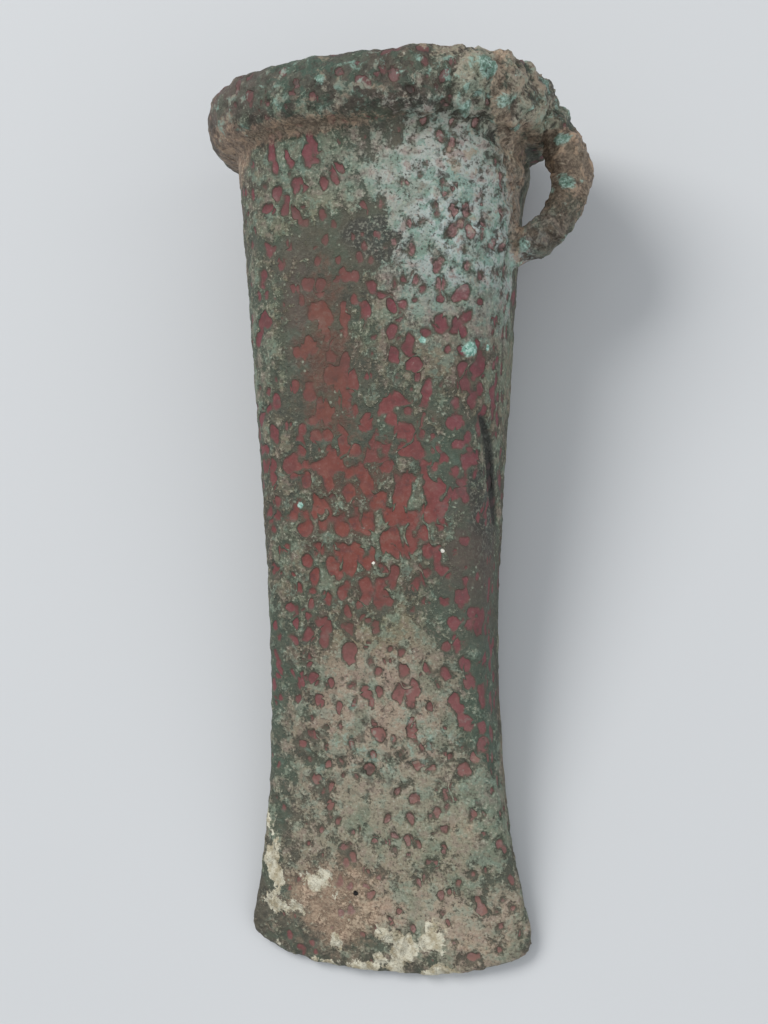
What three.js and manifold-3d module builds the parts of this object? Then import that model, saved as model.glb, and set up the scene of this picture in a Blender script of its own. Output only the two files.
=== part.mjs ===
// A late Bronze Age socketed axe head, lying on one broad face.
// It is one casting: a thick collar round the socket mouth, a tapering body with soft corners,
// a thin blade that flares to a bowed cutting edge, and one small side loop for a lashing.
// The haft went into the open socket. Millimetres, +Z up, +Y towards the socket mouth,
// +X towards the loop. The origin is under the middle of the head, on the surface it lies on.

import * as THREE from "three";
import { mergeVertices } from "three/addons/utils/BufferGeometryUtils.js";
import Module from "manifold-3d";

const wasm = await Module();
wasm.setup();

// Overall length, from the middle of the cutting edge to the lip of the mouth.
const headLength = 104;

// The blade.
const edgeWidth = 34.6;
const edgeBow = 5;
const edgeBluntness = 1.1;
const edgeShift = 0.35;
const bladeLength = 25;
const bladeThickness = 9;

// The body, narrowest at the waist, and widest at the neck under the collar.
const waistWidth = 26.2;
const waistFromEdge = 42;
const neckWidth = 34.2;
const neckThickness = 27.8;

// The collar round the mouth.
const collarHeight = 7.2;
const collarWidth = 41.8;
const collarThickness = 35.6;
const mouthLean = 0.25;

// The socket inside.
const lipWall = 3.6;
const bodyWall = 2.8;
const socketDepth = 64;
const socketEndThickness = 5;

// The loop at the side.
const loopStrapDepth = 3.5;
const loopStrapWidth = 5.2;
const loopGap = 4.7;
const loopGapLength = 9.7;

// A dent in the corner between the upper face and the loop's side.
const dentLength = 12.4;
const dentWidth = 1.8;
const dentDepth = 1.1;
const dentFromEdge = 58.4;
const dentTopShare = 0.968;
const dentFootShare = 1;

// Worn flats underneath, where the head rests.
const restFlat = 0.2;

// Mesh fineness.
const outerColumns = 60;
const socketColumns = 40;
const strapColumns = 16;

const neckFromEdge = headLength - collarHeight;
const { lerp, smoothstep } = THREE.MathUtils;

// Half the body's width at a distance from the edge: hollow-sided from the waist down to the
// blade's tips, and almost straight from the waist up to the neck.
function halfWidthAt(fromEdge) {
  const waist = waistWidth / 2;
  if (fromEdge < waistFromEdge) {
    const down = 1 - fromEdge / waistFromEdge;
    return lerp(waist, edgeWidth / 2, down ** 2.3);
  }
  const up = (fromEdge - waistFromEdge) / (neckFromEdge - waistFromEdge);
  return lerp(waist, neckWidth / 2, Math.min(up, 1) ** 1.35);
}

// Half the body's thickness: the blade swells quickly behind its blunt edge, then the faces run
// nearly straight to the neck.
function halfThicknessAt(fromEdge) {
  if (fromEdge < bladeLength) {
    const back = fromEdge / bladeLength;
    return lerp(edgeBluntness, bladeThickness, back ** 0.8) / 2;
  }
  const up = (fromEdge - bladeLength) / (neckFromEdge - bladeLength);
  return lerp(bladeThickness, neckThickness, Math.min(up, 1) ** 0.96) / 2;
}

// How square the section is: 2 is an ellipse, and more gives flatter faces with tighter corners.
function squarenessAt(fromEdge) {
  return lerp(6.5, 2.7, smoothstep(fromEdge, bladeLength * 0.4, headLength * 0.96));
}

// How far a section's outline stands off its middle line, as a share of its half thickness, at a
// share of its half width.
function riseAt(across, squareness) {
  return (1 - Math.abs(across) ** squareness) ** (1 / squareness);
}

function bodySection(fromEdge, swell = 0) {
  return {
    at: fromEdge,
    halfWidth: halfWidthAt(fromEdge) + swell * (collarWidth - neckWidth) / 2,
    halfThickness: halfThicknessAt(fromEdge) + swell * (collarThickness - neckThickness) / 2,
    squareness: squarenessAt(fromEdge) - 0.4 * swell,
    bow: edgeBow * (1 - smoothstep(fromEdge, 0, bladeLength)),
    lean: mouthLean * smoothstep(fromEdge, waistFromEdge, neckFromEdge),
    shift: edgeShift * (1 - smoothstep(fromEdge, 0, waistFromEdge)),
  };
}

// A closed skin through sections that run along +Y, pinched shut on a line at each end.
function loft(sections, columns) {
  const first = { ...sections[0], halfThickness: 0 };
  const last = { ...sections[sections.length - 1], halfThickness: 0 };
  const rows = [last, ...sections.toReversed(), first];
  const skin = new THREE.CylinderGeometry(1, 1, 1, columns, rows.length - 1, true);
  const position = skin.getAttribute("position");
  for (let i = 0; i < position.count; i++) {
    const row = rows[Math.floor(i / (columns + 1))];
    const turn = ((i % (columns + 1)) / columns) * Math.PI * 2;
    // Rounded, so that the two sides of a pinched row meet exactly.
    const [across, facing] = [Math.sin(turn), Math.cos(turn)].map((part) => Number(part.toFixed(6)));
    const rise = riseAt(across, row.squareness);
    position.setXYZ(
      i,
      row.halfWidth * across + row.shift,
      row.at + row.bow * (1 - Math.abs(facing)) + row.lean * across,
      row.halfThickness * rise * Math.sign(facing),
    );
  }
  return skin;
}

// A three.js geometry as a solid, without the faces that have no area.
function toSolid(geometry) {
  const bare = new THREE.BufferGeometry();
  bare.setAttribute("position", geometry.getAttribute("position"));
  bare.setIndex(geometry.getIndex());
  const merged = mergeVertices(bare, 1e-4);
  const corners = merged.getIndex().array;
  const kept = [];
  for (let i = 0; i < corners.length; i += 3) {
    const [a, b, c] = corners.slice(i, i + 3);
    if (a !== b && b !== c && c !== a) kept.push(a, b, c);
  }
  return new wasm.Manifold(
    new wasm.Mesh({
      numProp: 3,
      vertProperties: merged.getAttribute("position").array,
      triVerts: new Uint32Array(kept),
    }),
  );
}

function toGeometry(solid) {
  const mesh = solid.getMesh();
  const geometry = new THREE.BufferGeometry();
  geometry.setAttribute("position", new THREE.BufferAttribute(mesh.vertProperties, 3));
  geometry.setIndex(new THREE.BufferAttribute(mesh.triVerts, 1));
  return geometry;
}

// The outside of the casting, from the cutting edge to the lip, with the collar's round moulding.
function outerSections() {
  const bladeSteps = 12;
  const bodySteps = 13;
  const collarSteps = 9;
  const sections = [{ ...bodySection(0), halfThickness: 0 }];
  for (let i = 1; i <= bladeSteps; i++) {
    sections.push(bodySection(bladeLength * (i / bladeSteps) ** 1.5));
  }
  for (let i = 1; i <= bodySteps; i++) {
    sections.push(bodySection(lerp(bladeLength, neckFromEdge, i / bodySteps)));
  }
  for (let i = 1; i <= collarSteps; i++) {
    const round = (i / collarSteps) * Math.PI * 0.86;
    const rise = (1 - Math.cos(round)) / (1 - Math.cos(Math.PI * 0.86));
    sections.push(bodySection(neckFromEdge + collarHeight * rise, Math.sin(round) ** 0.75));
  }
  return sections;
}

// The space for the haft, open at the lip and ending in a blunt wedge.
function socketSkin() {
  const steps = 12;
  const floor = headLength - socketDepth;
  const sections = [];
  for (let i = 0; i <= steps; i++) {
    const up = i / steps;
    const at = lerp(floor, headLength, up);
    const wall = lerp(bodyWall, lipWall, smoothstep(at, headLength - collarHeight * 1.7, headLength));
    const narrow = lerp(socketEndThickness / 2, halfThicknessAt(at) - wall, Math.sqrt(up));
    const body = bodySection(at);
    sections.push({
      ...body,
      halfWidth: body.halfWidth - wall - (1 - up) ** 3 * bodyWall,
      halfThickness: Math.min(narrow, body.halfThickness - wall),
      squareness: 3,
      bow: 0,
    });
  }
  const mouth = sections[sections.length - 1];
  sections.push({ ...mouth, at: headLength + collarHeight });
  return loft(sections, socketColumns);
}

// The loop: a strap that leaves the collar, bows out past the gap and runs back into the body.
function loopStrap() {
  const half = loopStrapDepth / 2;
  const reach = loopGap + half;
  const foot = neckFromEdge - loopGapLength - half;
  // Each stop is how far the strap's middle stands off the body's side, and how far from the edge.
  const stops = [
    [0.5, neckFromEdge + collarHeight * 0.62],
    [reach * 0.5, neckFromEdge + collarHeight * 0.36],
    [reach * 0.86, neckFromEdge - loopGapLength * 0.1],
    [reach, neckFromEdge - loopGapLength * 0.5],
    [reach * 0.87, neckFromEdge - loopGapLength * 0.86],
    [reach * 0.47, foot + half * 0.2],
    [-half, foot - half * 0.8],
  ];
  const path = new THREE.CatmullRomCurve3(
    stops.map(([off, at]) => new THREE.Vector3(halfWidthAt(Math.min(at, neckFromEdge)) + off, at, 0)),
  );
  const section = new THREE.Shape();
  section.absellipse(0, 0, loopStrapWidth / 2, loopStrapDepth / 2, 0, Math.PI * 2);
  return new THREE.ExtrudeGeometry(section, {
    steps: 22,
    curveSegments: strapColumns,
    extrudePath: path,
  });
}

// A point of the upper skin, at a distance from the edge and a share of the half width.
function skinPoint(fromEdge, across) {
  const { halfWidth, halfThickness, squareness, shift } = bodySection(fromEdge);
  const rise = riseAt(across, squareness);
  return new THREE.Vector3(halfWidth * across + shift, fromEdge, halfThickness * rise);
}

// A long shallow dent that starts in the upper face and runs over the corner, down to the middle
// of the side.
function dentTool() {
  const inner = skinPoint(dentFromEdge + dentLength / 2, dentTopShare);
  const outer = skinPoint(dentFromEdge - dentLength / 2, dentFootShare);
  const along = inner.clone().sub(outer);
  const turn = new THREE.Quaternion();
  turn.setFromUnitVectors(new THREE.Vector3(0, 1, 0), along.clone().normalize());
  const tool = new THREE.SphereGeometry(1, 12, 10);
  tool.scale(dentWidth / 2, along.length() / 2, dentDepth);
  tool.applyQuaternion(turn);
  const middle = inner.add(outer).multiplyScalar(0.5);
  return tool.translate(middle.x, middle.y, middle.z);
}

// The angle at which the head lies: a line under the collar that just touches the blade's face.
function restTilt(sections) {
  const crest = sections.reduce((a, b) => (b.halfThickness > a.halfThickness ? b : a));
  const slopes = sections
    .filter(({ at }) => at < waistFromEdge)
    .map(({ at, halfThickness }) => (crest.halfThickness - halfThickness) / (crest.at - at));
  return Math.atan(Math.min(...slopes));
}

// Lays the pieces down together at the resting angle, sunk by the worn flats below z = 0.
function layDown(pieces, skin, tilt) {
  for (const piece of pieces) piece.rotateX(tilt);
  skin.computeBoundingBox();
  const drop = -skin.boundingBox.min.z - restFlat;
  for (const piece of pieces) piece.translate(0, 0, drop);
}

function axeHead() {
  const sections = outerSections();
  const skin = loft(sections, outerColumns);
  const pieces = [skin, loopStrap(), socketSkin(), dentTool()];
  layDown(pieces, skin, restTilt(sections));
  const ground = new THREE.BoxGeometry(headLength * 2, headLength * 4, headLength);
  ground.translate(0, 0, -headLength / 2);
  const [outside, loop, ...cuts] = [...pieces, ground].map(toSolid);
  const cast = cuts.reduce((solid, cut) => solid.subtract(cut), outside.add(loop));
  const geometry = toGeometry(cast);
  geometry.computeBoundingBox();
  const middle = geometry.boundingBox.getCenter(new THREE.Vector3());
  const bronze = new THREE.MeshStandardMaterial({
    color: 0x77715f,
    roughness: 0.72,
    metalness: 0.25,
  });
  const mesh = new THREE.Mesh(geometry, bronze);
  mesh.name = "axe_head";
  mesh.position.set(-middle.x, -middle.y, 0);
  return mesh;
}

const part = new THREE.Group();
part.add(axeHead());

export default part;
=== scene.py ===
"""The looks of a late Bronze Age socketed axe head that has lain in the ground.

A smooth red layer of cuprite lies on the metal. Over it come a thin dark green layer and a
granular pale crust, which has flaked away in round patches. Dirt fills the hollows, and green
pustules stand on the collar and the loop.

The mesh stores the strength of each zone at its vertices. The relief of the mesh and the colours
of the material are then made from the same noises and the same zones, so that they agree.
"""

import bpy
import numpy as np
from mathutils import Matrix, Vector, noise


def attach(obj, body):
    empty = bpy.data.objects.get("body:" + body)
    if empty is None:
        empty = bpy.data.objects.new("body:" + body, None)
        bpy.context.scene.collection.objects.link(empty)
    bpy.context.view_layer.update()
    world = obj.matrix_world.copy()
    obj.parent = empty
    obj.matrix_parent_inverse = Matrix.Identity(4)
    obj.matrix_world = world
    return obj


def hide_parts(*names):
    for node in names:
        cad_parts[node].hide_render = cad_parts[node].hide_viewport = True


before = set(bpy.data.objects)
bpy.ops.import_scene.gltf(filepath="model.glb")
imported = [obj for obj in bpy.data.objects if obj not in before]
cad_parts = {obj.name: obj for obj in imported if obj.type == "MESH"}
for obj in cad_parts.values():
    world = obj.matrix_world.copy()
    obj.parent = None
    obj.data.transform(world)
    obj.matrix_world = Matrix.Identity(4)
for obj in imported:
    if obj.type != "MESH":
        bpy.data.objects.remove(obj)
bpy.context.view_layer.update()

MM = 0.001

# The camera, in millimetres in the part's frame.
CAMERA_AT = (47.4, -33.4, 165.0)
CAMERA_AIM = (-5.06, 2.97, 0.0)
CAMERA_UP = (0.0167, 0.9775, 0.2102)
CAMERA_LENS = 49.2
CAMERA_CLIP = 5

# Each light's place and size in metres, its power and its colour. All shine at LIGHT_AIM.
LIGHTS = {
    "window": ((-0.5, 0.45, 0.8), 0.6, 6.5, (1.0, 0.99, 0.97)),
    "fill": ((0.7, -0.3, 0.6), 1.0, 3.2, (0.95, 0.98, 1.0)),
}
LIGHT_AIM = (0, 0, 0.01)
SKY_COLOUR = (0.93, 0.96, 1.0, 1)
SKY_STRENGTH = 0.5
FLOOR_COLOUR = (206, 208, 210)
FLOOR_ROUGHNESS = 0.9
FLOOR_SIZE = 6

# The seeds of the zones' ragged edges and of the scattered pustules.
SWAY_SEED = 3
PUSTULE_SEED = 11

# The skin is remeshed at this size in millimetres, and the voxels' steps are smoothed out.
VOXEL = 0.42
SMOOTHING_STEPS = 6
SMOOTHING_FACTOR = 0.5

# The head's own axis, from the blade to the mouth. Above the floor it is at AXIS_HEIGHT where y is
# AXIS_FOOT, and it rises by AXIS_SLOPE for each millimetre towards the mouth.
AXIS = (-0.013, 0.986, 0.167)
AXIS_FOOT = -52.6
AXIS_HEIGHT = 0.5
AXIS_SLOPE = 0.167

# Heights of the layers and of single features, in millimetres. Of two heights of one kind, the
# LUMPY one is added where the skin is lumpy.
PALE_RISE = 0.13
ASH_RISE = 0.14
DARK_RISE = 0.06
CREAM_RISE = 0.1
LUMP_RISE = 0.5
BROAD_RISE = 0.16
LUMPY_BROAD_RISE = 1.2
CRAG_RISE = 0.08
LUMPY_CRAG_RISE = 1.5
GROOVE_DEPTH = 0.5
GAP_SWELL = 1.2
ROOT_SWELL = 0.3
SKIN_SHRINK = 0.14
RESTING_SHRINK = 0.4
HOLLOW_DEPTH = 0.9

# Heights of what is too fine for the mesh, in millimetres, and how much of it the red layer lacks.
GRAIN_RISE = 0.2
PIT_DEPTH = 0.06
FINE_CRAG_RISE = 0.6
RED_SMOOTHNESS = 0.85
BUMP_STRENGTH = 0.8

# The roughness of the surface: its level, what the red layer lacks, and how far the tint moves it.
ROUGHNESS = 0.62
RED_GLOSS = 0.06
ROUGHNESS_SWING = 0.5
SPECULAR = 0.4

# The noises: the size of their features in millimetres, how many finer octaves they have, how
# strong those are, and an offset that keeps the noises apart.
NOISES = {
    "patch": (2.0, 0.8, 0.5, 31),
    "vein": (3.0, 1.5, 0.5, 83),
    "crust": (1.5, 5.0, 0.72, 7),
    "cream": (2.2, 5.0, 0.68, 23),
    "crag": (1.5, 4.0, 0.66, 71),
    "broad": (2.8, 2.5, 0.6, 53),
    "blotch": (4.0, 3.0, 0.62, 61),
    "tint": (1.2, 4.0, 0.65, 67),
    "hue": (1.5, 3.0, 0.6, 91),
    "grain": (0.34, 3.0, 0.7, 11),
}

# The cells: their size in millimetres, how smoothly two of them meet, and an offset.
CELLS = {
    "patch": (1.5, 0.45, 0),
    "lump": (2.3, 0.6, 41),
    "pit": (0.6, 0, 19),
    "speck": (0.85, 0, 29),
}

# How a pattern's place is pushed about: the size of the bends and their reach, in millimetres, and
# how the place is stretched afterwards.
PATCH_SWAY = (1.6, 0.7, (1.0, 0.72, 1.0))
CRAG_SWAY = (1.1, 0.8, (1.0, 1.0, 1.0))

# How much the red zones widen the red patches, the level that a patch needs where there is none,
# and how much the veins between the patches take away.
RED_REACH = 0.235
RED_NEED = 0.222
VEIN_LOSS = 0.11

# From where to where each layer grows, on the scale of its own noise.
RED_EDGE = (-0.035, 0.022)
DEEP_EDGE = (0.0, 0.07)
BASIN_EDGE = (-0.1, 0.05)
RIM_EDGE = (-0.065, -0.025)
PALE_EDGE = (0.26, 0.5)
CREAM_EDGE = (0.36, 0.44)
VEIN_EDGE = (0.04, 0.005)
LUMP_EDGE = (0.75, 0.1)
PIT_EDGE = (0.26, 0.12)
SPECK_EDGE = (0.24, 0.14)

# How strongly its zones, its noise and the fine grain decide where a layer lies.
RED_GRAIN = 0.16
PALE_ZONE = 0.45
PALE_NOISE = 1.1
PALE_GRAIN = 0.6
CREAM_ZONE = 0.6
CREAM_NOISE = 1.5
CREAM_GRAIN = 0.25

# The share of the pale crust that is gone at the rim of a red patch, and what ash keeps of it.
RIM_LOSS = 0.5
RIM_ASH = 0.3

# Where each kind of surface lies on the upper side: soft ellipses in millimetres, each with its
# middle (x, y), its half sizes (x, y) and how strong it is. A strength below 0 takes some away.
ZONES = {
    "red": [
        (-8, 35.5, 8, 6, 0.8), (-13, 16, 3, 20, 0.76), (-5, 15, 4, 11, 1.08), (4, 21, 8, 8, 0.7),
        (10.5, 12, 3.4, 7, 0.92), (-1, 1, 13, 13, 1.09), (9.6, -19, 3.2, 11, 0.84),
        (-9, -15, 6, 7, 0.8), (-1, -19, 11, 6, 0.62), (0, -29, 13, 9, 0.54), (-6, -45, 6, 4, 0.5),
        (6, -42, 8, 5, 0.34), (4, 45, 9, 2.6, 0.66), (9, 32, 6, 8, 0.45), (-8, 46, 9, 3, 0.5),
    ],
    "orange": [(-5.5, 16, 3.4, 11, 1.0), (-3, -1, 9, 11, 0.85), (-7, -46, 5, 5, 0.4)],
    "pale": [
        (9, 33, 9, 9, 0.86), (-8, 35, 8, 8, 0.95), (6, 19, 8, 9, 1.0), (-1, -21, 10, 9, 1.1),
        (-8, -6, 7, 11, 0.8), (2, -34, 14, 8, 0.95), (3, -4, 6, 9, 0.95), (5, -45, 12, 5, 0.95),
        (13, 12, 2.6, 22, 0.8), (13, 45, 7, 4, 0.7), (-12, 4, 3, 8, 0.7), (-2, 33, 7, 4, 0.6),
        (-13.5, 18, 3, 16, 0.75), (-4, 28.3, 6, 2.4, -0.7), (-6, 18, 2.6, 8, -0.5),
        (11.5, -6, 3, 7, -0.5),
    ],
    "pink": [
        (-1, -22, 8, 7, 1.0), (10, -47, 7, 4, 0.9), (5, 38, 6, 3, 0.6), (-5, -28, 8, 5, 0.6),
        (-5, -45, 7, 5, 0.8),
    ],
    "grey": [(10, 29, 7, 7, 1.0), (9, 35, 8, 6, 0.8)],
    "olive": [
        (-4, 29, 7, 4, 1.0), (-1, -13.5, 5.5, 2.6, 0.9), (-8, 22, 3, 7, 0.7),
        (3, -38, 9, 6, 0.4), (-5.5, 16, 3.4, 9, 0.7),
    ],
    "brown": [
        (11.5, -5, 3.4, 7, 1.0), (-18, 43, 6, 8, 1.0), (8.9, -35.6, 4.5, 3.2, 0.5),
        # The last brown ellipse darkens the strap's lower arm: partly its brown, partly painted
        # shade where it turns under.
        (-8.7, 23, 1.3, 5, 0.8), (19, 31.5, 4.5, 4.5, 1.0),
    ],
    "cream": [
        (-15, -41, 2.0, 5.0, 0.9), (-9.6, -42.2, 1.9, 2.1, 0.85), (-0.4, -49.4, 2.8, 2.3, 0.9),
        (4.8, -48.2, 2.0, 1.9, 0.85), (-7.8, -49.7, 1.5, 1.1, 0.8), (-15.5, -49, 1.4, 1, 0.6),
        (-1, -52.2, 9.5, 1.0, 1.6), (-12.6, -46, 0.9, 1.2, 0.6),
    ],
    "green": [
        (11, -24, 2.6, 18, 0.9), (-14, -22, 2.4, 12, 0.8), (9, 2, 4, 6, 0.7),
        (-14.5, 22, 2.4, 14, 0.7), (8, -12, 4, 5, 0.8), (-2, 3, 9, 12, 0.45), (-8, 45, 8, 3, 1.0),
        (3, -32, 10, 7, 0.35), (-7, 34, 7, 7, 0.8),
    ],
    # The soot zone holds dark patches, and painted shade in the hollow beside the strap (13.4,
    # 40.4) and in the crease under the collar (7, 41.4).
    "soot": [
        (2.6, 28.5, 4.4, 1.9, 1.0), (11.6, 1, 1.5, 8, 0.7), (-7, -25, 3, 3, 0.4),
        (6, -8, 3, 4, 0.4), (13.4, 40.4, 1.7, 1.2, 1.0), (7, 41.4, 2.5, 0.8, 0.6),
        (3, -31, 9, 3, 0.3),
    ],
    "rust": [
        (-7.2, -45.5, 5.2, 5.2, 0.9), (10, -47, 5, 3, 0.35), (-17.5, 40.5, 3, 3, 0.6),
        (9, -35.6, 3.5, 2, 0.4),
    ],
    "ash": [
        (2, -36, 14, 9, 0.8), (9, 36, 8, 6, 0.7), (5, -46, 11, 5, 1.0), (-6, -46, 7, 5, 0.9),
        (14, 44, 6, 5, 0.8),
    ],
}
ZONE_FALL = 0.6
ZONE_FIRMNESS = 1.4

# The zones' edges are pushed about by a coarse and a fine noise, with a pitch in 1/mm each.
SWAY_REACH = 1.6
COARSE_PITCH = 0.22
FINE_PITCH = 0.7
FINE_SHARE = 0.4

# How far from the axis, in height, the underside turns into the upper side.
UPPER_EDGE = (-1.5, 1.5)

# How much of these kinds the underside and the sides have, and how widely that drifts. Each kind
# reads its drift from another part of the noise.
UNDERSIDE = {"red": (0.3, 0.9), "pale": (0.45, 0.8), "olive": (0.3, 0.6), "green": (0.4, 0.7)}
UNDERSIDE_MOST = 0.85
DRIFT_PITCH = 0.09
DRIFT_SPACING = 9

# The left of the collar has lost part of its pale crust: from where on, along the axis and in x.
BARE_COLLAR = 0.3
BARE_ALONG = (43.5, 45)
BARE_X = (9, 2)

# From where to where these parts of the head begin, in millimetres.
COLLAR_ALONG = (44.8, 46.2)
STRAP_X = (15.6, 16.8)
STRAP_Y = (26, 28)
SOCKET_X = (14.5, 13.5)
SOCKET_MIDDLE_X = -1.8
SOCKET_FACING = (0.2, -0.6)
RIGHT_X = (5, 13)
RIGHT_Y = (20, 34)

# How lumpy the skin is: everywhere, on the collar and more of it to the right, on the strap, at
# the upper right, on the rubble low on the body, and the share that the socket loses.
LUMPY = 0.05
LUMPY_COLLAR = 0.38
LUMPY_COLLAR_RIGHT = 0.32
COLLAR_RIGHT_X = (0, 12)
LUMPY_STRAP = 0.45
LUMPY_RIGHT = 0.62
LUMPY_RUBBLE = 0.3
RUBBLE = ((0.5, -27), (10, 6))
SOCKET_SMOOTHNESS = 0.7

# The dirt: in the crease under the collar and more of it to the left, at the strap's root, along
# the corner by the root, and on the strap, most of all on its upper arm. The root is a point and a
# radius, and the crease and the corner are a place and a half width.
CREASE_ALONG = (45.0, 1.0)
CREASE_LEFT_X = (6, -8)
ROOT = ((14.7, 32.6, 15.2), 2.2)
CORNER_X = (14.7, 0.9)
CORNER_Y = (24, 32)
ARM_Y = (31, 38)
CREASE_DIRT = 0.3
CREASE_LEFT_DIRT = 0.6
ROOT_DIRT = 0.8
CORNER_DIRT = 0.75
STRAP_DIRT = 0.12
ARM_DIRT = 0.75

# Skin swells into the loop's gap, and sinks in the hollow beside the strap and where it rests.
LOOP_GAP = ((17.2, 40.0), (2.8, 3.2))
LOOP_GAP_Z = (21, 16)
HOLLOW = ((13.6, 40.4), (1.3, 0.9))
RESTING_Z = (1.2, 0.2)

# Single pustules of green corrosion: a point on the skin, and a radius.
PUSTULES = [
    ((13.6, 45.4, 30.3), 1.5), ((18.4, 47.7, 21.0), 1.1), ((20.3, 41.8, 19.2), 1.1),
    ((20.9, 36.8, 18.4), 1.15), ((15.6, 30.4, 17.0), 0.95), ((14.5, 29.0, 15.4), 0.8),
    ((15.5, 42.1, 23.1), 0.9), ((14.9, 42.7, 28.0), 1.1), ((3.3, 45.2, 34.6), 0.7),
    ((-3.6, 43.5, 34.9), 0.9), ((10.7, 16.8, 20.9), 1.1),
]
PUSTULE_SHRINK = 0.85
PUSTULE_FLATNESS = 0.5

# Small pustules are scattered over the lumpy skin, and a higher power keeps them closer to it.
SMALL_PUSTULES = 40
SMALL_RADIUS = (0.35, 0.8)
SMALL_POWER = 3

# Single coloured spots: a point on the skin, and a radius. Grain and tint make them ragged, in
# shares of the radius, and they are full within SPOT_CORE of it.
SPOT_GRAIN = 1.2
SPOT_TINT = 2.4
SPOT_CORE = 0.6
CRYSTALS = [
    ((10.7, 16.8, 20.9), 0.95), ((-9.5, 0.0, 18.0), 0.4), ((5.8, 17.3, 23.1), 0.4),
    ((12.2, 17.5, 19.0), 0.4),
]
SPECKS = [((-0.9, -6.5, 16.2), 0.22), ((7.2, -5.2, 16.3), 0.26)]
# The pore is painted near black: painted shade of a small hole that the mesh lacks.
PORES = [((-4.8, -43.4, 4.6), 0.34)]

# The groove along the corner on the loop's side, from its top to its foot, its half width at the
# ends, what it gains in the middle, and how far below the axis it can lie.
GROOVE = [(11.6, 10.0, 17.6), (12.0, 7.1, 14.6), (11.9, 4.2, 12.9), (11.5, -0.5, 8.6)]
GROOVE_END = 0.3
GROOVE_GAIN = 0.45
GROOVE_REACH = 5

# Screen colours from 0 to 255: the dark green layer, the pale crust, the red layer and the cream.
DARK = {
    "base": (54, 53, 46), "light": (90, 86, 73), "ash": (112, 106, 92), "green": (70, 86, 73),
    "olive": (82, 78, 65), "stain": (90, 64, 54), "warm stain": (104, 68, 56),
    "brown collar": (76, 60, 54), "green collar": (50, 74, 62), "brown": (88, 75, 68),
    # The soot colours darken dark patches and paint shade in the hollow beside the strap and under
    # the collar.
    "blotch": (74, 90, 74), "grain": (114, 113, 97), "soot": (54, 55, 50),
    "soot_and_shade grain": (122, 122, 110), "rim": (90, 86, 70),
}
PALE = {
    "base": (122, 112, 91), "dull": (92, 84, 70), "ash": (180, 172, 150),
    "green": (102, 119, 103), "pink": (166, 147, 129), "olive": (122, 116, 88),
    "grey": (182, 196, 193), "sea green": (116, 150, 136), "mauve": (150, 124, 118),
    "blotch": (105, 120, 100), "dark grain": (78, 74, 62), "light grain": (176, 174, 156),
    "pit": (70, 60, 56), "speckle": (166, 174, 154),
}
RED = {
    "base": (112, 57, 63), "orange": (122, 64, 50), "light": (131, 80, 81),
    "light orange": (134, 84, 71), "brown": (92, 60, 58), "blotch": (98, 60, 58),
    "grain": (160, 120, 114), "shallow": (94, 68, 60), "olive": (91, 68, 59),
    "dusty": (142, 106, 95), "veil": (112, 86, 82), "veil grain": (160, 130, 126),
    "collar": (92, 66, 62),
}
CREAM = {"base": (176, 164, 136), "light": (218, 213, 192), "dark grain": (140, 126, 102)}

# Screen colours of what lies on the layers: rust, knobs and cracks of the crust, earth, and the
# green bloom of the pustules. The last are those of single features; the groove's and the pore's
# are painted shade.
RUST = {"base": (142, 114, 94), "light": (206, 180, 154)}
KNOB = {
    "base": (160, 142, 122), "green": (150, 184, 170), "strap": (178, 150, 124),
    "brown strap": (112, 98, 82), "crack": (58, 54, 46),
}
EARTH = {
    "tan": (108, 92, 78), "light tan": (160, 140, 120), "tan knob": (192, 162, 136),
    # The umber is partly the brown of the strap's lower arm and partly painted shade where the arm
    # turns under.
    "umber_and_shade": (72, 64, 54), "light umber and shade": (116, 102, 86),
    "soil": (60, 52, 42), "light soil": (104, 92, 74),
}
BLOOM = {"base": (98, 132, 116), "light": (166, 194, 182), "crack": (70, 80, 68)}
CRYSTAL = {"base": (112, 158, 142), "light": (178, 212, 200)}
# Painted shade: the groove is darkened like the shade in its notch.
GROOVE_SHADE = (44, 44, 42)
SPECK_COLOUR = (240, 238, 226)
# Painted shade: the pore is darkened like the shade in a small hole.
PORE_SHADE = (20, 16, 14)


def screen_colour(colour):
    """A screen colour of 0-255 values as a linear one. The socket of a node is left as it is."""
    if isinstance(colour, bpy.types.NodeSocket):
        return colour
    screen = np.array(colour) / 255
    linear = np.where(screen < 0.04045, screen / 12.92, ((screen + 0.055) / 1.055) ** 2.4)
    return (*linear, 1.0)


def plug(tree, socket, value):
    """Links a field or a socket to an input, or sets a plain value there."""
    if isinstance(value, Field):
        value = value.socket
    if isinstance(value, bpy.types.NodeSocket):
        tree.links.new(value, socket)
    else:
        socket.default_value = value


class Field:
    """A number at each point of the skin: a socket of a node tree, with plain arithmetic."""

    def __init__(self, tree, socket):
        self.tree, self.socket = tree, socket

    def math(self, operation, *values):
        node = self.tree.nodes.new("ShaderNodeMath")
        node.operation = operation
        for socket, value in zip(node.inputs, values):
            plug(self.tree, socket, value)
        return Field(self.tree, node.outputs[0])

    def __add__(self, other):
        return self.math("ADD", self, other)

    def __sub__(self, other):
        return self.math("SUBTRACT", self, other)

    def __rsub__(self, other):
        return self.math("SUBTRACT", other, self)

    def __mul__(self, other):
        return self.math("MULTIPLY", self, other)

    def __abs__(self):
        return self.math("MAXIMUM", self, 0 - self)

    def at_most(self, other):
        return self.math("MINIMUM", self, other)

    def rise(self, low, high):
        """0 below low, 1 above high, and smooth between. low may be above high."""
        node = self.tree.nodes.new("ShaderNodeMapRange")
        node.interpolation_type = "SMOOTHSTEP"
        plug(self.tree, node.inputs["Value"], self)
        plug(self.tree, node.inputs["From Min"], low)
        plug(self.tree, node.inputs["From Max"], high)
        return Field(self.tree, node.outputs[0])


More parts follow.
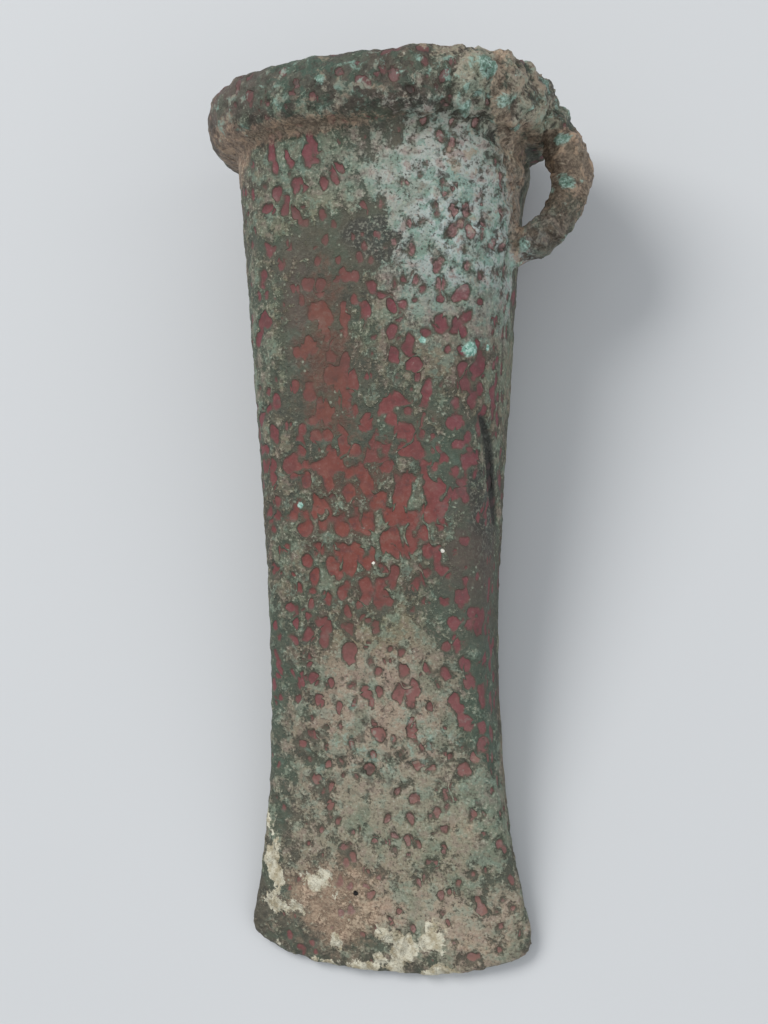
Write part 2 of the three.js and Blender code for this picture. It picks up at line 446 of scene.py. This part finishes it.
class Skin:
    """What the same functions read and make in a material's tree and in a modifier's tree."""

    def __init__(self, tree):
        self.tree = tree
        self.fields = {}
        self.place = self.attribute("place", "FLOAT_VECTOR")

    def attribute(self, name, kind):
        """The socket of a value that the mesh stores at each vertex."""
        if self.tree.bl_idname == "ShaderNodeTree":
            node = self.tree.nodes.new("ShaderNodeAttribute")
            node.attribute_name = name
            return node.outputs["Vector" if kind == "FLOAT_VECTOR" else "Fac"]
        node = self.tree.nodes.new("GeometryNodeInputNamedAttribute")
        node.data_type = kind
        node.inputs["Name"].default_value = name
        return next(s for s in node.outputs if s.enabled and s.name == "Attribute")

    def stored(self, name):
        """The strength of a zone or a feature, which the mesh stores at each vertex."""
        if name not in self.fields:
            self.fields[name] = Field(self.tree, self.attribute(name, "FLOAT"))
        return self.fields[name]

    def vector(self, operation, *values):
        node = self.tree.nodes.new("ShaderNodeVectorMath")
        node.operation = operation
        for socket, value in zip(node.inputs, values):
            plug(self.tree, socket, value)
        return node.outputs["Value" if operation == "DISTANCE" else "Vector"]

    def noise(self, name, place=None):
        """Soft noise around 0.5."""
        size, detail, roughness, offset = NOISES[name]
        node = self.tree.nodes.new("ShaderNodeTexNoise")
        moved = self.vector("ADD", place or self.place, (offset, offset * 0.7, -offset))
        plug(self.tree, node.inputs["Vector"], moved)
        node.inputs["Scale"].default_value = 1 / size
        node.inputs["Detail"].default_value = detail
        node.inputs["Roughness"].default_value = roughness
        return Field(self.tree, node.outputs[0])

    def cells(self, name, place=None):
        """The distance from the nearest of many scattered points."""
        size, smoothness, offset = CELLS[name]
        node = self.tree.nodes.new("ShaderNodeTexVoronoi")
        node.feature = "SMOOTH_F1" if smoothness else "F1"
        moved = self.vector("ADD", place or self.place, (offset, -offset, offset * 0.4))
        plug(self.tree, node.inputs["Vector"], moved)
        node.inputs["Scale"].default_value = 1 / size
        if smoothness:
            node.inputs["Smoothness"].default_value = smoothness
        return Field(self.tree, node.outputs["Distance"])

    def swayed(self, size, reach, stretch):
        """The place, pushed about so that patterns made with it lose their regular outlines."""
        node = self.tree.nodes.new("ShaderNodeTexNoise")
        plug(self.tree, node.inputs["Vector"], self.place)
        node.inputs["Scale"].default_value = 1 / size
        node.inputs["Detail"].default_value = 1.0
        push = self.vector("SUBTRACT", node.outputs["Color"], (0.5, 0.5, 0.5))
        push = self.vector("MULTIPLY", push, (reach, reach, reach))
        return self.vector("MULTIPLY", self.vector("ADD", self.place, push), stretch)


class Paint(Skin):
    """The material's tree, with the noises that all its colours share."""

    def __init__(self, tree):
        super().__init__(tree)
        self.blotch = self.noise("blotch")
        self.tint = self.noise("tint")
        self.hue = self.noise("hue")
        self.grain = self.noise("grain")
        self.pits = self.cells("pit").rise(*PIT_EDGE)
        self.crag = crags(self)
        self.of = layers(self, self.grain)

    def mix(self, share, under, over):
        """The colour under, covered by the colour over as far as the share says."""
        node = self.tree.nodes.new("ShaderNodeMix")
        node.data_type = "RGBA"
        plug(self.tree, node.inputs[0], share)
        plug(self.tree, node.inputs[6], screen_colour(under))
        plug(self.tree, node.inputs[7], screen_colour(over))
        return node.outputs[2]

    def washed(self, colour, *washes):
        """The colour under washes that are put on in turn: a share and a colour each."""
        for share, wash in washes:
            colour = self.mix(share, colour, wash)
        return colour


def layers(skin, grain=0.5):
    """The share of each layer at each point. The layers' edges follow the grain that is given."""
    swayed = skin.swayed(*PATCH_SWAY)
    patches = (skin.noise("patch", swayed) - skin.cells("patch", swayed)) * 0.5
    vein = abs(skin.noise("vein", swayed) - 0.5).rise(*VEIN_EDGE)
    over = patches + skin.stored("red") * RED_REACH - RED_NEED - vein * VEIN_LOSS
    red = (over + (grain - 0.5) * RED_GRAIN).rise(*RED_EDGE)
    rim = over.rise(*RIM_EDGE)
    pale = (skin.noise("crust", swayed) - 0.5) * PALE_NOISE + (grain - 0.5) * PALE_GRAIN
    pale = (pale + skin.stored("pale") * PALE_ZONE - over).rise(*PALE_EDGE)
    pale = pale * (1 - red) * (1 - rim * (RIM_LOSS - skin.stored("ash") * RIM_ASH))
    cream = skin.stored("cream") * CREAM_ZONE + (skin.noise("cream", swayed) - 0.5) * CREAM_NOISE
    cream = (cream + (grain - 0.5) * CREAM_GRAIN).rise(*CREAM_EDGE)
    return {
        "red": red * (1 - cream),
        "deep": over.rise(*DEEP_EDGE),
        "basin": over.rise(*BASIN_EDGE),
        "rim": rim,
        "pale": pale,
        "cream": cream,
    }


def crags(skin):
    """The broken crust where corrosion has swollen: high on knobs and low in cracks."""
    return skin.noise("crag", skin.swayed(*CRAG_SWAY))


def layer_height(skin, of):
    """The height of the dark layer and of the pale crust, which is thicker in the ash."""
    thickness = skin.stored("ash") * ASH_RISE + PALE_RISE
    return (1 - of["basin"]) * DARK_RISE + of["pale"] * thickness


def relief(skin, of):
    """How far the surface stands off the metal, in millimetres."""
    lumpy = skin.stored("lumpy")
    lumps = skin.cells("lump").rise(*LUMP_EDGE) * lumpy * LUMP_RISE
    broad = (skin.noise("broad") - 0.5) * (lumpy * LUMPY_BROAD_RISE + BROAD_RISE)
    broken = (crags(skin) - 0.5) * (lumpy * LUMPY_CRAG_RISE + CRAG_RISE)
    height = layer_height(skin, of) + of["cream"] * CREAM_RISE + lumps + broad + broken
    return height + skin.stored("pustule") - skin.stored("groove") * GROOVE_DEPTH


def smooth_step(low, high, value):
    """0 at low, 1 at high, and smooth between. low may be above high."""
    share = np.clip((value - low) / (high - low), 0, 1)
    return share * share * (3 - 2 * share)


def bell(value, middle, half):
    """1 in the middle, falling off smoothly past a half width."""
    return np.exp(-((value - middle) / half) ** 2)


def spot(x, y, middle, half, fall=1, firmness=1):
    """A soft ellipse: 1 in its middle, falling off past its half sizes."""
    off = ((x - middle[0]) / half[0]) ** 2 + ((y - middle[1]) / half[1]) ** 2
    return np.exp(-fall * off ** firmness)


def distance(places, point):
    return np.linalg.norm(places - np.array(point), axis=1)


def along_path(places, path):
    """The distance of each place from a path of straight stretches, and the share of the path."""
    best = np.full(len(places), np.inf)
    share = np.zeros(len(places))
    stretches = list(zip(path, path[1:]))
    for i, (start, end) in enumerate(stretches):
        way = end - start
        t = np.clip((places - start) @ way / (way @ way), 0, 1)
        off = np.linalg.norm(places - start - t[:, None] * way, axis=1)
        nearer = off < best
        best[nearer] = off[nearer]
        share[nearer] = (i + t[nearer]) / len(stretches)
    return best, share


def seen_from_camera(places):
    """The places, flattened along the camera's line of sight."""
    sight = np.array((Vector(CAMERA_AT) - Vector(CAMERA_AIM)).normalized())
    return places - (places @ sight)[:, None] * sight


def sway(places):
    """How far each place is pushed before the zones are read there, to make their edges ragged."""
    noise.seed_set(SWAY_SEED)
    pushes = []
    for place in places:
        coarse = noise.noise_vector(Vector(place) * COARSE_PITCH)
        fine = noise.noise_vector(Vector(place) * FINE_PITCH)
        pushes.append(coarse + fine * FINE_SHARE)
    return np.array(pushes) * SWAY_REACH


def read(items, name):
    values = np.empty(len(items) * 3, np.float32)
    items.foreach_get(name, values)
    return values.reshape(-1, 3)


class Vertices:
    """The vertices of the skin before any relief, in millimetres."""

    def __init__(self, mesh):
        self.mesh = mesh
        self.places = read(mesh.vertices, "co") / MM
        self.normals = read(mesh.vertex_normals, "vector")
        self.swayed = self.places + sway(self.places)
        self.along = self.places @ np.array(AXIS)
        self.axis_z = AXIS_HEIGHT + (self.places[:, 1] - AXIS_FOOT) * AXIS_SLOPE
        self.upper = smooth_step(*UPPER_EDGE, self.swayed[:, 2] - self.axis_z)
        self.collar = smooth_step(*COLLAR_ALONG, self.along)
        x, y = self.places[:, 0], self.places[:, 1]
        self.strap = smooth_step(*STRAP_X, x) * smooth_step(*STRAP_Y, y) * (1 - self.collar)

    def store(self, name, values):
        """Keeps a number or a place at each vertex, for the relief and the material."""
        kind, field = ("FLOAT_VECTOR", "vector") if values.ndim == 2 else ("FLOAT", "value")
        attribute = self.mesh.attributes.new(name, kind, "POINT")
        attribute.data.foreach_set(field, values.astype(np.float32).ravel())


def store_zones(vertices):
    """Each zone's strength. The underside has a plainer drift of a few of them."""
    x, y, _ = vertices.swayed.T
    for name, ellipses in ZONES.items():
        value = np.zeros(len(x))
        for at_x, at_y, half_x, half_y, strength in ellipses:
            size = (half_x, half_y)
            part = strength * spot(x, y, (at_x, at_y), size, ZONE_FALL, ZONE_FIRMNESS)
            value = np.maximum(value, part) if strength > 0 else value + part
        value *= vertices.upper
        if name == "pale":
            bare = smooth_step(*BARE_ALONG, vertices.along) * smooth_step(*BARE_X, x)
            value -= BARE_COLLAR * bare * vertices.upper
        if name in UNDERSIDE:
            level, swing = UNDERSIDE[name]
            shift = Vector((len(name) * DRIFT_SPACING, 3, 1))
            drift = [noise.noise(Vector(p) * DRIFT_PITCH + shift) for p in vertices.places]
            share = np.clip(level + np.array(drift) * swing, 0, UNDERSIDE_MOST)
            value += (1 - vertices.upper) * share
        vertices.store(name, value)


def store_roughness(vertices):
    """How lumpy the skin is, and where it is inside the socket."""
    x, y, _ = vertices.swayed.T
    centre = np.full_like(vertices.axis_z, SOCKET_MIDDLE_X)
    off_axis = vertices.places - np.stack([centre, vertices.places[:, 1], vertices.axis_z], 1)
    facing = np.einsum("ij,ij->i", vertices.normals, off_axis)
    inside = smooth_step(*SOCKET_FACING, facing) * smooth_step(*SOCKET_X, vertices.places[:, 0])
    collar = LUMPY_COLLAR + LUMPY_COLLAR_RIGHT * smooth_step(*COLLAR_RIGHT_X, x)
    right = smooth_step(*RIGHT_X, x) * smooth_step(*RIGHT_Y, y) * vertices.upper
    rubble = spot(x, y, *RUBBLE, firmness=1.5) * vertices.upper
    lumpy = vertices.collar * collar + vertices.strap * LUMPY_STRAP
    lumpy = np.clip(lumpy + right * LUMPY_RIGHT + rubble * LUMPY_RUBBLE, 0, 1) + LUMPY
    lumpy *= 1 - inside * SOCKET_SMOOTHNESS
    vertices.store("inside", inside)
    vertices.store("lumpy", lumpy)
    return lumpy


def scattered_pustules(places, chance):
    """Small pustules where the surface is roughest: a place and a radius for each."""
    draw = np.random.default_rng(PUSTULE_SEED)
    chance = chance ** SMALL_POWER
    chosen = draw.choice(len(places), SMALL_PUSTULES, replace=False, p=chance / chance.sum())
    return list(zip(places[chosen], draw.uniform(*SMALL_RADIUS, SMALL_PUSTULES)))


def store_features(vertices, lumpy):
    """The domes of the pustules, and the groove."""
    pustules = [(at, radius * PUSTULE_SHRINK) for at, radius in PUSTULES]
    pustules += scattered_pustules(vertices.places, lumpy * vertices.upper)
    domes = np.zeros(len(lumpy))
    for at, radius in pustules:
        off = distance(vertices.places, at) / radius
        dome = np.sqrt(np.clip(1 - off ** 2, 0, 1)) * radius * PUSTULE_FLATNESS
        domes = np.maximum(domes, dome)
    path = seen_from_camera(np.array(GROOVE))
    off, share = along_path(seen_from_camera(vertices.places), path)
    width = GROOVE_END + GROOVE_GAIN * np.sin(np.pi * share)
    near = vertices.swayed[:, 2] > vertices.axis_z - GROOVE_REACH
    vertices.store("pustule", domes)
    vertices.store("groove", bell(off, 0, width) * near)


def store_wear(vertices):
    """Where dirt has stayed, and where the skin swells or is held back."""
    x, y, z = vertices.places.T
    above = z > vertices.axis_z
    crease = bell(vertices.along, *CREASE_ALONG) * above
    root_at, root_radius = ROOT
    root = bell(distance(vertices.places, root_at), 0, root_radius)
    corner = bell(x, *CORNER_X) * smooth_step(*CORNER_Y, y) * above
    dirt = crease * (CREASE_DIRT + CREASE_LEFT_DIRT * smooth_step(*CREASE_LEFT_X, x))
    dirt = dirt + root * ROOT_DIRT + corner * CORNER_DIRT
    dirt = dirt + vertices.strap * (STRAP_DIRT + ARM_DIRT * smooth_step(*ARM_Y, y))
    vertices.store("dirt", np.clip(dirt, 0, 1))
    gap = spot(x, y, *LOOP_GAP, firmness=2) * smooth_step(*LOOP_GAP_Z, z)
    hollow = spot(x, y, *HOLLOW) * above
    resting = smooth_step(*RESTING_Z, z)
    swell = gap * GAP_SWELL + root * ROOT_SWELL - SKIN_SHRINK
    vertices.store("swell", swell - resting * RESTING_SHRINK - hollow * HOLLOW_DEPTH)


def store_all(mesh):
    """Everything that the relief and the material read at the vertices."""
    vertices = Vertices(mesh)
    vertices.store("place", vertices.places)
    vertices.store("collar", vertices.collar)
    vertices.store("strap", vertices.strap)
    store_zones(vertices)
    lumpy = store_roughness(vertices)
    store_features(vertices, lumpy)
    store_wear(vertices)


def dressed_mesh():
    """The CAD solid as one even, smooth skin."""
    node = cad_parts["axe_head"]
    piece = bpy.data.objects.new("axe_head_skin", node.data.copy())
    bpy.context.scene.collection.objects.link(piece)
    remesh = piece.modifiers.new("even", "REMESH")
    remesh.mode = "VOXEL"
    remesh.voxel_size = VOXEL * MM
    smooth = piece.modifiers.new("smooth", "SMOOTH")
    smooth.factor = SMOOTHING_FACTOR
    smooth.iterations = SMOOTHING_STEPS
    apply_modifiers(piece)
    return piece


def apply_modifiers(piece):
    """Puts the result of a piece's modifiers in its mesh."""
    view = bpy.context.evaluated_depsgraph_get()
    mesh = bpy.data.meshes.new_from_object(piece.evaluated_get(view))
    piece.modifiers.clear()
    piece.data = mesh


def raise_relief(piece):
    """Moves the skin out and in by the relief, with the same fields that the material reads."""
    group = bpy.data.node_groups.new("relief", "GeometryNodeTree")
    group.interface.new_socket("Geometry", in_out="INPUT", socket_type="NodeSocketGeometry")
    group.interface.new_socket("Geometry", in_out="OUTPUT", socket_type="NodeSocketGeometry")
    start = group.nodes.new("NodeGroupInput")
    end = group.nodes.new("NodeGroupOutput")
    skin = Skin(group)
    height = relief(skin, layers(skin)) + skin.stored("swell")
    normal = group.nodes.new("GeometryNodeInputNormal")
    offset = group.nodes.new("ShaderNodeVectorMath")
    offset.operation = "SCALE"
    plug(group, offset.inputs[0], normal.outputs[0])
    plug(group, offset.inputs["Scale"], height * MM)
    move = group.nodes.new("GeometryNodeSetPosition")
    group.links.new(start.outputs[0], move.inputs["Geometry"])
    group.links.new(offset.outputs[0], move.inputs["Offset"])
    group.links.new(move.outputs[0], end.inputs[0])
    piece.modifiers.new("relief", "NODES").node_group = group
    apply_modifiers(piece)


def dark_layer(paint):
    """The thin dark green layer: stained by the red one, browner on the collar, sooty in places,
    with painted shade in the hollow beside the strap and in the crease under the collar.
    """
    zone, tint, hue, grain = paint.stored, paint.tint, paint.hue, paint.grain
    stain = (zone("orange") + (tint - 0.5) * 1.3 + (grain - 0.5) * 0.5).rise(0.45, 0.95)
    stained = paint.mix(hue.rise(0.4, 0.6), DARK["stain"], DARK["warm stain"])
    collar = paint.mix(hue.rise(0.45, 0.55), DARK["brown collar"], DARK["green collar"])
    # Dark patches and painted shade, with light grains.
    soot = paint.mix(grain.rise(0.5, 0.62), DARK["soot"], DARK["soot_and_shade grain"])
    return paint.washed(
        DARK["base"],
        (tint.rise(0.36, 0.62), DARK["light"]),
        (zone("ash") * 0.6, DARK["ash"]),
        (zone("green"), DARK["green"]),
        (zone("olive") * 0.85, DARK["olive"]),
        (stain * 0.85, stained),
        (zone("collar") * 0.5, collar),
        (zone("brown") * 0.85, DARK["brown"]),
        (paint.blotch.rise(0.5, 0.62) * 0.45, DARK["blotch"]),
        (grain.rise(0.46, 0.75) * 0.5, DARK["grain"]),
        # Dark patches, and painted shade in the hollow beside the strap and in the crease under the
        # collar.
        (zone("soot").rise(0.3, 0.7) * 0.8, soot),
    )


def pale_crust(paint):
    """The granular crust, with its pits and grains."""
    zone, tint, hue, grain = paint.stored, paint.tint, paint.hue, paint.grain
    return paint.washed(
        PALE["base"],
        (tint.rise(0.4, 0.6), PALE["dull"]),
        (zone("ash") * 0.75, PALE["ash"]),
        (zone("green") * 0.8, PALE["green"]),
        (zone("pink") * 0.8, PALE["pink"]),
        (zone("olive") * 0.6, PALE["olive"]),
        (zone("grey") * 0.85, PALE["grey"]),
        (hue.rise(0.51, 0.6) * (zone("grey") * 0.5 + 0.3), PALE["sea green"]),
        (hue.rise(0.47, 0.38) * (zone("grey") * 0.5 + 0.3), PALE["mauve"]),
        (paint.blotch.rise(0.5, 0.62) * 0.5, PALE["blotch"]),
        (grain.rise(0.47, 0.34) * 0.7, PALE["dark grain"]),
        (grain.rise(0.55, 0.68) * 0.65, PALE["light grain"]),
        (paint.pits * tint.rise(0.5, 0.62) * 0.7, PALE["pit"]),
    )


def red_layer(paint):
    """The cuprite, duller at the patches' edges and under the veil of the pale areas."""
    zone, tint, grain, of = paint.stored, paint.tint, paint.grain, paint.of
    light = paint.mix(zone("orange"), RED["light"], RED["light orange"])
    dust = (zone("ash") * 0.75 + zone("pink") * 0.4).at_most(0.8)
    veil = zone("grey") * 0.8 + zone("strap") + zone("ash") * 0.55 + (tint - 0.5) * 1.6
    veiled = paint.mix(grain.rise(0.4, 0.65), RED["veil"], RED["veil grain"])
    return paint.washed(
        RED["base"],
        (zone("orange"), RED["orange"]),
        (tint.rise(0.45, 0.66) * 0.5, light),
        (tint.rise(0.45, 0.34) * 0.7, RED["brown"]),
        (paint.blotch.rise(0.5, 0.38) * 0.5, RED["blotch"]),
        (grain.rise(0.5, 0.8) * 0.35, RED["grain"]),
        ((1 - of["deep"]) * 0.45, RED["shallow"]),
        (zone("olive") * 0.6, RED["olive"]),
        (dust, RED["dusty"]),
        (veil.rise(0.2, 0.75) * 0.7, veiled),
        (zone("collar") * (1.2 - tint), RED["collar"]),
    )


def all_layers(paint):
    """The layers where each of them lies, with rust on the dark and the pale one."""
    tint, grain, of = paint.tint, paint.grain, paint.of
    rust = (paint.stored("rust") + (tint - 0.5) * 1.2).rise(0.2, 0.7)
    rusty = paint.mix(grain.rise(0.3, 0.7), RUST["base"], RUST["light"])
    cream = paint.washed(
        CREAM["base"],
        (tint.rise(0.35, 0.6), CREAM["light"]),
        (grain.rise(0.45, 0.34) * 0.6, CREAM["dark grain"]),
    )
    return paint.washed(
        dark_layer(paint),
        (of["pale"], pale_crust(paint)),
        (rust * 0.7, rusty),
        (of["rim"] * 0.4 * (1 - of["red"]), DARK["rim"]),
        (of["red"], red_layer(paint)),
        (of["cream"], cream),
    )


def broken_crust(paint, colour):
    """The colour with fine specks, and with light knobs and dark cracks where it is lumpy."""
    zone, tint, blotch, crag = paint.stored, paint.tint, paint.blotch, paint.crag
    lumpy = zone("lumpy")
    specks = paint.cells("speck").rise(*SPECK_EDGE) * (1 - paint.of["red"])
    specks = specks * tint.rise(0.42, 0.55) * blotch.rise(0.45, 0.55)
    knob = paint.mix(blotch.rise(0.42, 0.58), KNOB["base"], KNOB["green"])
    strap = paint.mix(zone("brown"), KNOB["strap"], KNOB["brown strap"])
    knob = paint.mix(zone("strap") * 0.8, knob, strap)
    return paint.washed(
        colour,
        (specks * 0.55, PALE["speckle"]),
        (crag.rise(0.53, 0.64) * (lumpy * 1.3).at_most(0.75), knob),
        (crag.rise(0.46, 0.36) * (lumpy * 1.5 + 0.12).at_most(0.85), KNOB["crack"]),
    )


def earthy(paint, colour):
    """The colour with tan dirt, umber on the strap's lower arm that is partly painted shade where
    the arm turns under, and soil inside the socket.
    """
    zone, tint, grain, crag = paint.stored, paint.tint, paint.grain, paint.crag
    dirt = zone("dirt") + (grain - 0.5) * 0.6 + (tint - 0.5) * 1.1
    tan = paint.mix(grain.rise(0.38, 0.62), EARTH["tan"], EARTH["light tan"])
    tan = paint.mix(crag.rise(0.52, 0.62) * 0.8, tan, EARTH["tan knob"])
    umber_and_shade = paint.mix(grain.rise(0.4, 0.66), EARTH["umber_and_shade"], EARTH["light umber and shade"])
    soil = paint.mix(tint, EARTH["soil"], EARTH["light soil"])
    return paint.washed(
        colour,
        (dirt.rise(0.38, 0.66) * 0.75, tan),
        # Partly brown, partly painted shade on the strap's lower arm, which turns under.
        (zone("strap") * zone("brown") * 0.75, umber_and_shade),
        (zone("inside") * 0.85, soil),
    )


def dotted(paint, colour, spots, tone):
    """The colour with small ragged spots of another tone."""
    for at, radius in spots:
        away = Field(paint.tree, paint.vector("DISTANCE", paint.place, at))
        away = away + (paint.grain - 0.5) * (radius * SPOT_GRAIN)
        away = away + (paint.tint - 0.5) * (radius * SPOT_TINT)
        colour = paint.mix(away.rise(radius, radius * SPOT_CORE), colour, tone)
    return colour


def with_features(paint, colour):
    """The colour with the pustules, painted shade in the groove and in the pore, the crystals and
    the specks.
    """
    zone, tint, grain = paint.stored, paint.tint, paint.grain
    pustule = (zone("pustule") + (grain - 0.5) * 0.4 + (tint - 0.5) * 0.8).rise(0.14, 0.4)
    bloom = paint.mix(grain.rise(0.4, 0.65), BLOOM["base"], BLOOM["light"])
    bloom = paint.mix(paint.crag.rise(0.46, 0.38), bloom, BLOOM["crack"])
    crystal = paint.mix(grain.rise(0.42, 0.6), CRYSTAL["base"], CRYSTAL["light"])
    colour = paint.washed(
        colour,
        (pustule * 0.9, bloom),
        # Painted shade along the groove.
        (zone("groove").rise(0.35, 0.8) * 0.85, GROOVE_SHADE),
    )
    colour = dotted(paint, colour, CRYSTALS, crystal)
    colour = dotted(paint, colour, SPECKS, SPECK_COLOUR)
    return dotted(paint, colour, PORES, PORE_SHADE)


def fine_height(paint):
    """The height of what is too fine for the mesh, in millimetres. The red layer is smooth."""
    crag = paint.crag * paint.stored("lumpy") * FINE_CRAG_RISE
    rough = paint.grain * GRAIN_RISE - paint.pits * PIT_DEPTH + crag
    return rough * (1 - paint.of["red"] * RED_SMOOTHNESS) + layer_height(paint, paint.of)


def patina():
    """The corroded bronze."""
    material = bpy.data.materials.new("patina")
    material.use_nodes = True
    tree = material.node_tree
    shader = tree.nodes["Principled BSDF"]
    paint = Paint(tree)
    colour = broken_crust(paint, all_layers(paint))
    colour = with_features(paint, earthy(paint, colour))
    rough = ROUGHNESS - paint.of["red"] * RED_GLOSS + (paint.tint - 0.5) * ROUGHNESS_SWING
    plug(tree, shader.inputs["Base Color"], colour)
    plug(tree, shader.inputs["Roughness"], rough)
    shader.inputs["Metallic"].default_value = 0.0
    shader.inputs["Specular IOR Level"].default_value = SPECULAR
    bump = tree.nodes.new("ShaderNodeBump")
    bump.inputs["Distance"].default_value = MM
    bump.inputs["Strength"].default_value = BUMP_STRENGTH
    plug(tree, bump.inputs["Height"], fine_height(paint))
    tree.links.new(bump.outputs[0], shader.inputs["Normal"])
    return material


def floor_paint():
    material = bpy.data.materials.new("floor_paint")
    material.use_nodes = True
    shader = material.node_tree.nodes["Principled BSDF"]
    shader.inputs["Base Color"].default_value = screen_colour(FLOOR_COLOUR)
    shader.inputs["Roughness"].default_value = FLOOR_ROUGHNESS
    return material


def add_floor():
    bpy.ops.mesh.primitive_plane_add(size=FLOOR_SIZE)
    floor = bpy.context.object
    floor.name = "floor"
    floor.data.materials.append(floor_paint())


def add_lights():
    for name, (at, size, power, colour) in LIGHTS.items():
        light = bpy.data.lights.new(name, "AREA")
        light.shape = "DISK"
        light.size = size
        light.energy = power
        light.color = colour
        holder = bpy.data.objects.new(name, light)
        bpy.context.scene.collection.objects.link(holder)
        holder.location = at
        aim = Vector(LIGHT_AIM) - Vector(at)
        holder.rotation_euler = aim.to_track_quat("-Z", "Y").to_euler()


def add_sky():
    world = bpy.data.worlds.new("studio")
    world.use_nodes = True
    sky = world.node_tree.nodes["Background"]
    sky.inputs["Color"].default_value = SKY_COLOUR
    sky.inputs["Strength"].default_value = SKY_STRENGTH
    bpy.context.scene.world = world


def add_camera():
    camera = bpy.data.cameras.new("camera")
    camera.lens = CAMERA_LENS
    camera.clip_start = CAMERA_CLIP * MM
    holder = bpy.data.objects.new("camera", camera)
    bpy.context.scene.collection.objects.link(holder)
    at, aim = Vector(CAMERA_AT) * MM, Vector(CAMERA_AIM) * MM
    back = (at - aim).normalized()
    right = Vector(CAMERA_UP).cross(back).normalized()
    up = back.cross(right)
    turn = Matrix((right, up, back)).transposed().to_4x4()
    holder.matrix_world = Matrix.Translation(at) @ turn
    bpy.context.scene.camera = holder


axe = dressed_mesh()
store_all(axe.data)
raise_relief(axe)
axe.data.materials.clear()
axe.data.materials.append(patina())
axe.data.shade_smooth()
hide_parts("axe_head")
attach(axe, "root")

add_floor()
add_lights()
add_sky()
add_camera()
bpy.context.scene.view_settings.view_transform = "Standard"
